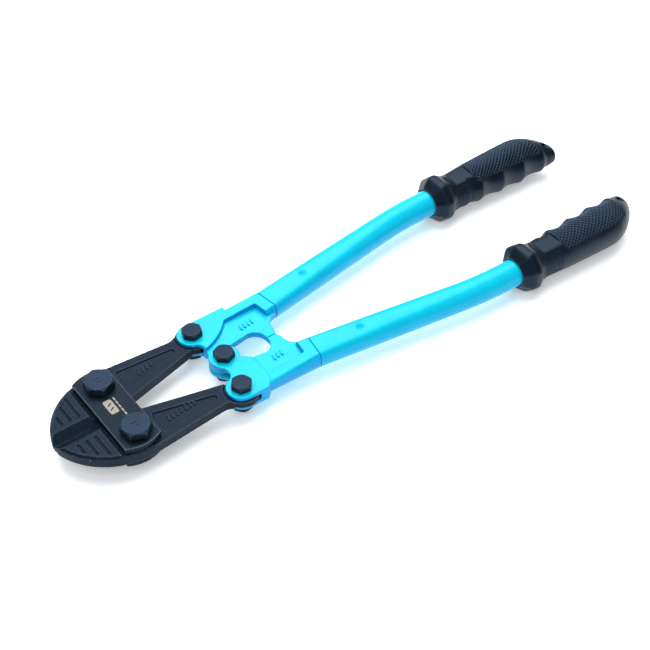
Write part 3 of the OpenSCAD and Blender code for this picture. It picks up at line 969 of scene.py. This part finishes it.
class BOLTCUTTER_OT_stage(bpy.types.Operator):
    """Sets the white light-table floor, the soft lights and the camera"""

    bl_idname = "boltcutter.stage"
    bl_label = "Stage"

    def execute(self, context):
        scene = context.scene
        s = scene.bolt_cutter_stage
        scene.view_settings.view_transform = "Standard"
        floor = floor_sheet("studio_floor")
        floor.data.materials.append(finish_for("opal_acrylic_sheet"))

        world = bpy.data.worlds.new("studio_room")
        world.use_nodes = True
        room = world.node_tree.nodes["Background"].inputs
        room["Color"].default_value = linear("#EEF5FF")
        room["Strength"].default_value = s.room_light
        scene.world = world
        softbox("key_softbox", (0.3, 0.55, 1.5), 2.0, s.key_light)
        softbox("side_softbox", (-0.9, -0.5, 1.5), 1.0, s.side_light)
        scene.camera = aimed_camera("camera", s)
        return {"FINISHED"}


class BOLTCUTTER_OT_jaws(bpy.types.Operator):
    """Finishes the two forged jaws and grinds their cutting edges"""

    bl_idname = "boltcutter.jaws"
    bl_label = "Jaws"

    def execute(self, context):
        for side in ("left", "right"):
            round_cad(f"jaw_{side}", "blackened_forged_steel", sizes().forged_edge)
        left = cutting_edge("jaw_left_edge")
        right = mirrored(left, "jaw_right_edge")
        for piece, side in ((left, "left"), (right, "right")):
            dress(piece, f"{side}_jaw", "blackened_forged_steel", "jaw_steel")
        return {"FINISHED"}


class BOLTCUTTER_OT_straps(bpy.types.Operator):
    """Finishes the two straps and prints a plain patch and dashes on the upper one"""

    bl_idname = "boltcutter.straps"
    bl_label = "Straps"

    def execute(self, context):
        for node in ("top_strap", "bottom_strap"):
            round_cad(node, "blackened_plate_steel", sizes().forged_edge)
        edge, top = STRAP_BOX[0][0], STRAP_BOX[1][2]
        patch_x, dash_x = edge + 11.2, edge + 16.3
        film, sunk = 0.06, 0.01
        # (name, finish, centre, half sizes, thickness, turn, roundness)
        prints = [("patch", "screen_print_ink", (patch_x, 2.5, top - sunk), (3.0, 6.4), film, 0.0, 7.0)]
        for k, y in enumerate((0.6, 4.4)):
            at = (patch_x, y, top + sunk)
            prints.append((f"gap_{k + 1}", "blackened_plate_steel", at, (1.9, 0.55), film, 0.5, 4.0))
        for k, y in enumerate((-7.4, -3.7, 0.0, 3.7, 7.4)):
            at = (dash_x, y, top - sunk)
            prints.append((f"dash_{k + 1}", "screen_print_ink", at, (0.55, 1.45), 0.05, 0.0, 7.0))
        for name, kind, *shape in prints:
            dress(pad(f"strap_print_{name}", *shape), "strap_frame", kind, "strap_steel")
        return {"FINISHED"}


class BOLTCUTTER_OT_jaw_bolts(bpy.types.Operator):
    """Finishes the two jaw bolts, with two short raised bars on each head"""

    bl_idname = "boltcutter.jaw_bolts"
    bl_label = "Jaw Bolts"

    def execute(self, context):
        apart, half, height, sunk = 3.0, (2.4, 0.6), 0.45, 0.06
        x = JAW_BOLT[0] - 0.4
        for side, sign in (("left", 1), ("right", -1)):
            round_cad(f"jaw_bolt_{side}", "blackened_jaw_bolt_steel", sizes().turned_edge)
            for k in range(2):
                y = sign * JAW_BOLT[1] + (k - 0.5) * apart
                mark = pad(f"jaw_bolt_{side}_mark_{k + 1}", (x, y, JAW_BOLT_TOP - sunk), half, height)
                dress(mark, "strap_frame", "blackened_jaw_bolt_steel", "jaw_bolt_steel")
        return {"FINISHED"}


class BOLTCUTTER_OT_heads(bpy.types.Operator):
    """Finishes the two forged handle heads"""

    bl_idname = "boltcutter.heads"
    bl_label = "Handle Heads"

    def execute(self, context):
        for side in ("left", "right"):
            round_cad(f"head_{side}", "powder_coated_forging", sizes().forged_edge)
        return {"FINISHED"}


class BOLTCUTTER_OT_marks(bpy.types.Operator):
    """Raises plain bars in the panels of the arms and heads, where forgings carry their marks"""

    bl_idname = "boltcutter.marks"
    bl_label = "Raised Marks"

    def execute(self, context):
        half, height, turn = (0.8, 2.5), 1.0, -0.2
        jaw = ("blackened_forged_steel", "jaw_steel", 2.5)
        head = ("powder_coated_forging", "head_paint", 2.4)
        # (name, body, (finish, slot, floor height), first bar's centre, number, step along x, slope)
        rows = [
            ("jaw_left_bar", "left_jaw", jaw, (-52.0, 23.4), 4, 3.4, 0.22),
            ("jaw_right_bar", "right_jaw", jaw, (-57.5, -22.6), 7, 3.4, 0.1),
            ("head_left_bar", "left_handle", head, (25.4, 18.2), 4, 3.2, 0.12),
            ("head_right_bar", "right_handle", head, (27.6, -18.2), 3, 3.2, 0.12),
        ]
        for name, body, (kind, slot, floor), (x, y), count, step, slope in rows:
            for k in range(count):
                centre = (x + k * step, y + k * step * slope, floor)
                dress(pad(f"{name}_{k + 1}", centre, half, height, turn), body, kind, slot)
        return {"FINISHED"}


class BOLTCUTTER_OT_fasteners(bpy.types.Operator):
    """Finishes the handle bolts, their nuts and spring washers, and the plugs in the tubes"""

    bl_idname = "boltcutter.fasteners"
    bl_label = "Bolts and Nuts"

    def execute(self, context):
        fasteners = ["centre_bolt", "centre_nut", "centre_washer"]
        for side in ("left", "right"):
            fasteners += [f"handle_bolt_{side}", f"handle_nut_{side}", f"spring_washer_{side}"]
            round_cad(f"tube_plug_{side}", "moulded_rubber", sizes().forged_edge)
        for node in fasteners:
            round_cad(node, "phosphated_bolt_steel", sizes().turned_edge)
        return {"FINISHED"}


class BOLTCUTTER_OT_tubes(bpy.types.Operator):
    """Makes the two powder-coated handle tubes"""

    bl_idname = "boltcutter.tubes"
    bl_label = "Tubes"

    def execute(self, context):
        left = tube_surface("tube_left_skin")
        right = mirrored(left, "tube_right_skin")
        for piece, side in ((left, "left"), (right, "right")):
            dress(piece, f"{side}_handle", "powder_coated_tube", "tube_paint", f"tube_{side}")
        return {"FINISHED"}


class BOLTCUTTER_OT_grips(bpy.types.Operator):
    """Makes the two moulded rubber grips"""

    bl_idname = "boltcutter.grips"
    bl_label = "Grips"

    def execute(self, context):
        left = hang_hole(grip_surface("grip_left_moulding"))
        right = mirrored(left, "grip_right_moulding")
        for piece, side in ((left, "left"), (right, "right")):
            dress(piece, f"{side}_handle", "moulded_rubber", "grip_rubber", f"grip_{side}")
        return {"FINISHED"}


OPERATORS = (
    BOLTCUTTER_OT_stage,
    BOLTCUTTER_OT_jaws,
    BOLTCUTTER_OT_straps,
    BOLTCUTTER_OT_jaw_bolts,
    BOLTCUTTER_OT_heads,
    BOLTCUTTER_OT_marks,
    BOLTCUTTER_OT_fasteners,
    BOLTCUTTER_OT_tubes,
    BOLTCUTTER_OT_grips,
)


class BOLTCUTTER_PT_panel(bpy.types.Panel):
    """Lists the pieces and the settings"""

    bl_idname = "BOLTCUTTER_PT_panel"
    bl_label = "Bolt Cutters"
    bl_space_type = "VIEW_3D"
    bl_region_type = "UI"
    bl_category = "Bolt Cutters"

    def draw(self, context):
        for cls in OPERATORS:
            self.layout.operator(cls.bl_idname)
        for group in ("bolt_cutter_sizes", "bolt_cutter_colours", "bolt_cutter_stage"):
            box = self.layout.box()
            settings = getattr(context.scene, group)
            for name in settings.bl_rna.properties.keys():
                if name not in ("rna_type", "name"):
                    box.prop(settings, name)


CLASSES = (BoltCutterSizes, BoltCutterColours, BoltCutterStage, *OPERATORS, BOLTCUTTER_PT_panel)


def register():
    for cls in CLASSES:
        bpy.utils.register_class(cls)
    bpy.types.Scene.bolt_cutter_sizes = PointerProperty(type=BoltCutterSizes)
    bpy.types.Scene.bolt_cutter_colours = PointerProperty(type=BoltCutterColours)
    bpy.types.Scene.bolt_cutter_stage = PointerProperty(type=BoltCutterStage)


def unregister():
    del bpy.types.Scene.bolt_cutter_sizes
    del bpy.types.Scene.bolt_cutter_colours
    del bpy.types.Scene.bolt_cutter_stage
    for cls in reversed(CLASSES):
        bpy.utils.unregister_class(cls)


def main():
    register()
    for cls in OPERATORS:
        group, name = cls.bl_idname.split(".")
        getattr(getattr(bpy.ops, group), name)()


if __name__ == "__main__":
    main()
